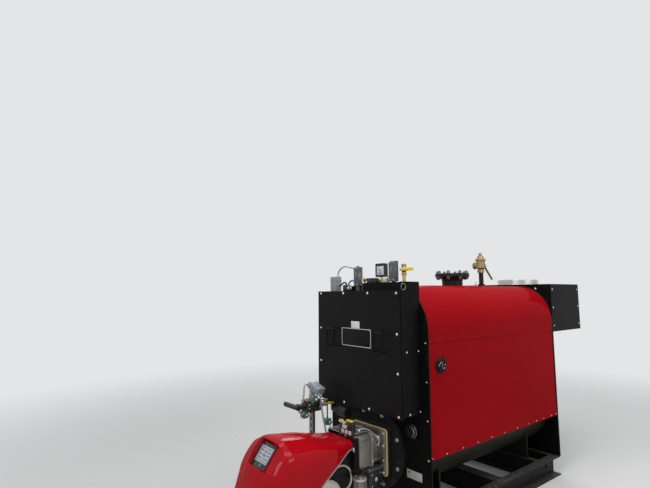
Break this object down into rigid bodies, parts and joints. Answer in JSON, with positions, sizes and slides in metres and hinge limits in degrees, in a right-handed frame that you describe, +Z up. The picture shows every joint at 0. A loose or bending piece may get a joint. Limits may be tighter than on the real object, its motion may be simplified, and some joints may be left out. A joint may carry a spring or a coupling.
{
  "type": "industrial boiler",
  "caption": "Skid-mounted hot-water boiler: red jacketed shell, black front and rear smoke boxes, hooded gas burner, gas train, relief valve and flanged nozzles.",
  "frame": {"origin": "middle of the skid's footprint, on the underside of the middle cross member at floor level", "axes": "+Z up, along the supply nozzle; Y along the boiler, the burner at -Y and the flue at +Y; +X is the side with the round port"},
  "size_m": [0.959, 3.255, 1.86],
  "materials": {
    "black_enamel": "satin black stove enamel on sheet steel",
    "jacket_red": "glossy deep red powder coat",
    "structural_black": "semi-matt black structural paint",
    "hood_red": "glossy bright red moulded plastic",
    "display_black": "dark grey glossy display bezel",
    "panel_grey": "light grey moulded panel",
    "cast_alu": "as-cast aluminium, bead blasted",
    "cover_silver": "pressed aluminium cover",
    "gasket_tan": "woven glass-fibre gasket, heat browned",
    "dark_plastic": "dark grey moulded plastic",
    "control_grey": "dark grey hammered enamel",
    "box_grey": "light grey-green enamel",
    "actuator_grey": "light grey moulded housing",
    "teal_plastic": "teal moulded housing",
    "lever_yellow": "yellow vinyl grip on steel",
    "lever_green": "green enamel",
    "brass": "machined brass",
    "bronze": "cast bronze",
    "black_pipe": "black pipe with mill varnish",
    "flange_black": "black painted forged steel",
    "nickel": "nickel-plated valve body",
    "zinc": "galvanised strut",
    "conduit_grey": "grey flexible steel conduit",
    "stainless": "stainless flue sleeve",
    "shell_black": "black heat-proof paint on plate"
  },
  "bodies": {
    "boiler": {"skid_rail_left": "structural_black", "skid_rail_right": "structural_black", "skid_cross_members": "structural_black", "vessel_saddles": "structural_black", "boiler_shell": "shell_black", "front_end_plate": "black_enamel", "rear_end_plate": "black_enamel", "jacket_side_left": "jacket_red", "jacket_side_right": "jacket_red", "jacket_top_cover": "jacket_red", "side_port": "dark_plastic", "front_smoke_box": "black_enamel", "box_side_panels": "black_enamel", "front_door": "black_enamel", "door_handles": "black_enamel", "cleanout_cap": "structural_black", "junction_box": "box_grey", "limit_controls": "control_grey", "pressure_gauge": "display_black", "vent_valve": "brass", "supply_nozzle": "flange_black", "relief_nipple": "black_pipe", "relief_valve": "bronze", "rear_smoke_box": "black_enamel", "flue_collar": "stainless", "return_nozzle": "flange_black", "furnace_front": "structural_black", "burner_gasket": "gasket_tan", "burner_casting": "cast_alu", "burner_hood": "hood_red", "burner_display": "display_black", "burner_panel": "panel_grey", "burner_chassis": "structural_black", "fan_housing": "structural_black", "inlet_cover": "cover_silver", "damper_actuators": "dark_plastic", "air_tube": "conduit_grey", "burner_leg": "structural_black", "gas_pipe": "black_pipe", "gas_valve": "cast_alu", "valve_actuator": "actuator_grey", "gas_cock": "nickel", "pressure_switches": "teal_plastic", "strut_post": "zinc", "flexible_conduits": "conduit_grey"},
    "vent_lever_arm": {"vent_lever": "lever_yellow"},
    "relief_lever_arm": {"relief_lever": "lever_green"},
    "gas_lever_arm": {"gas_lever": "lever_yellow"}
  },
  "joints": [
    {"name": "vent_turn", "type": "hinge", "parent": "boiler", "child": "vent_lever_arm", "pos_m": [0.347, -0.9235, 1.652], "axis": [0, -1, 0], "range_deg": [0, 90]},
    {"name": "relief_lift", "type": "hinge", "parent": "boiler", "child": "relief_lever_arm", "pos_m": [0, 0.585, 1.7466], "axis": [1, 0, 0], "range_deg": [0, 35]},
    {"name": "gas_turn", "type": "hinge", "parent": "boiler", "child": "gas_lever_arm", "pos_m": [-0.2915, -1.04695, 0.712], "axis": [-1, 0, 0], "range_deg": [0, 90]}
  ]
}
